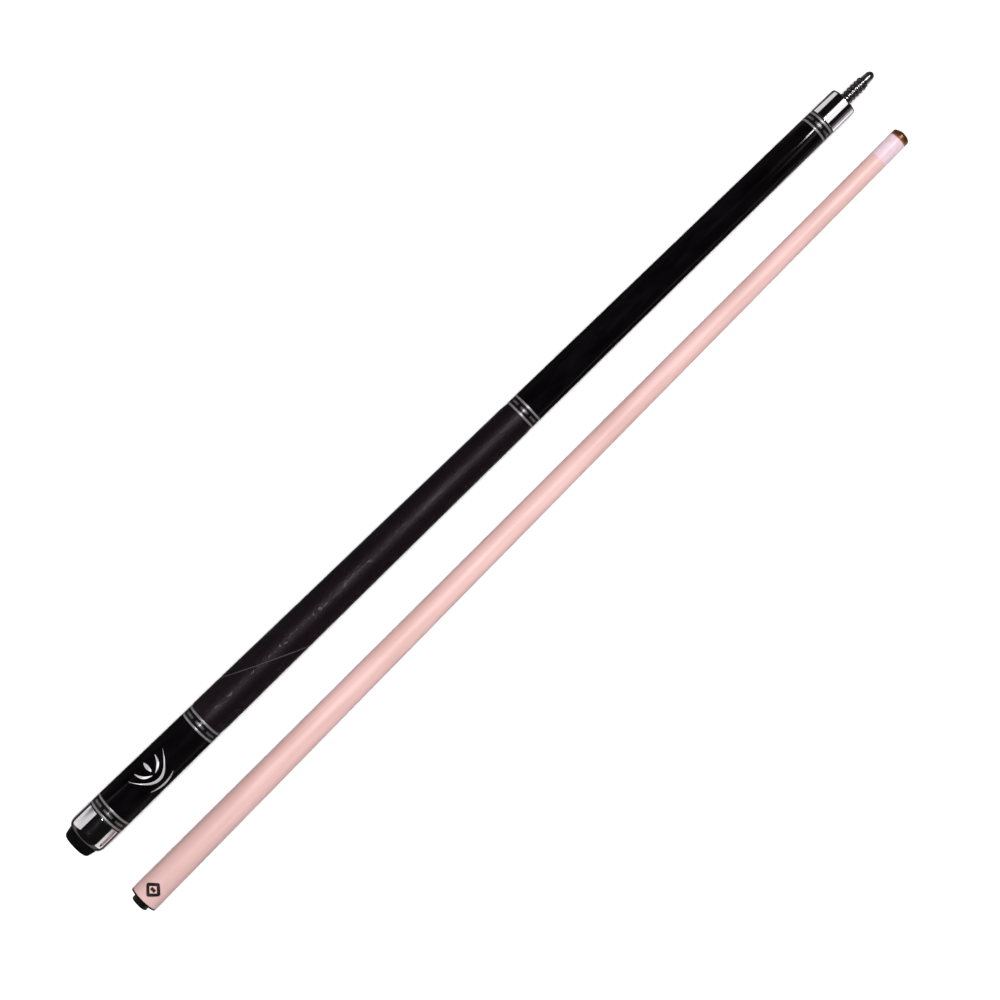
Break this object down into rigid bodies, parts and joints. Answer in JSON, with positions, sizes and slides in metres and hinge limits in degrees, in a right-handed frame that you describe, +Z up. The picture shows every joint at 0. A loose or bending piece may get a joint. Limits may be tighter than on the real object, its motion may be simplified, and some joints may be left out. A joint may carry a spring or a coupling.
{
  "type": "pool cue",
  "caption": "Two-piece pool cue, unscrewed: wrapped butt with a threaded joint pin, and a tapered maple shaft with ferrule and leather tip beside it.",
  "frame": {"origin": "on the surface that both halves lie on, under the middle of the whole cue", "axes": "+X along the butt from the bumper to the joint pin, +Z up, the shaft on the -Y side"},
  "size_m": [0.758, 0.0838, 0.0294],
  "materials": {
    "rubber": "matte moulded rubber",
    "polished_steel": "mirror polished",
    "screw_steel": "zinc plated",
    "brass": "turned",
    "phenolic": "polished black phenolic",
    "silver": "polished nickel silver",
    "lacquer": "maple under high-gloss black lacquer",
    "maple": "sealed and burnished maple",
    "leather_wrap": "satin, fine grain",
    "ferrule": "satin",
    "fibre": "vulcanised fibre",
    "tip_leather": "pressed layers, burnished side"
  },
  "bodies": {
    "butt": {"butt_cap": "polished_steel", "bumper_bush": "brass", "cap_spacer": "phenolic", "ring_a_rear": "silver", "ring_a_band": "phenolic", "ring_a_front": "silver", "ring_b_rear": "silver", "ring_b_band": "phenolic", "ring_b_front": "silver", "ring_c_rear": "silver", "ring_c_band": "phenolic", "ring_c_front": "silver", "ring_d_rear": "silver", "ring_d_band": "phenolic", "ring_d_front": "silver", "butt_sleeve": "lacquer", "sleeve_inlay_1": "silver", "sleeve_inlay_2": "silver", "sleeve_inlay_3": "silver", "sleeve_inlay_4": "silver", "sleeve_inlay_5": "silver", "handle_core": "maple", "wrap": "leather_wrap", "handle_stud": "screw_steel", "forearm": "lacquer", "joint_spacer": "phenolic", "joint_collar": "polished_steel", "joint_pin": "polished_steel"},
    "bumper": {"bumper": "rubber", "bumper_washer": "screw_steel"},
    "bumper_screw": {"bumper_screw": "screw_steel"},
    "weight": {"weight_bolt": "screw_steel"},
    "shaft_slider": {"shaft_collar": "phenolic"},
    "shaft": {"shaft_wood": "maple", "shaft_insert": "phenolic", "ferrule": "ferrule", "tip_pad": "fibre", "tip": "tip_leather"}
  },
  "joints": [
    {"name": "bumper_slide", "type": "slide", "parent": "butt", "child": "bumper", "axis": [-1, 0, 0.0061], "range_m": [0, 0.015]},
    {"name": "bumper_screw_turn", "type": "hinge", "parent": "bumper", "child": "bumper_screw", "pos_m": [-0.37372, 0.02718, 0.01475], "axis": [-1, 0, 0.0061], "range_deg": [0, 5400]},
    {"name": "weight_slide", "type": "slide", "parent": "butt", "child": "weight", "axis": [1, 0, -0.0061], "range_m": [-0.009, 0.021]},
    {"name": "shaft_slide", "type": "slide", "parent": "butt", "child": "shaft_slider", "axis": [0.9998, 0.0184, 0], "range_m": [0, 0.78]},
    {"name": "shaft_turn", "type": "hinge", "parent": "shaft_slider", "child": "shaft", "pos_m": [-0.37211, -0.03117, 0.01071], "axis": [0.9998, 0.0184, -0.0057], "continuous": true}
  ],
  "couplings": [
    {"joint": "bumper_screw_turn", "follows": "bumper_slide", "rad_per_m": 6283.2}
  ]
}
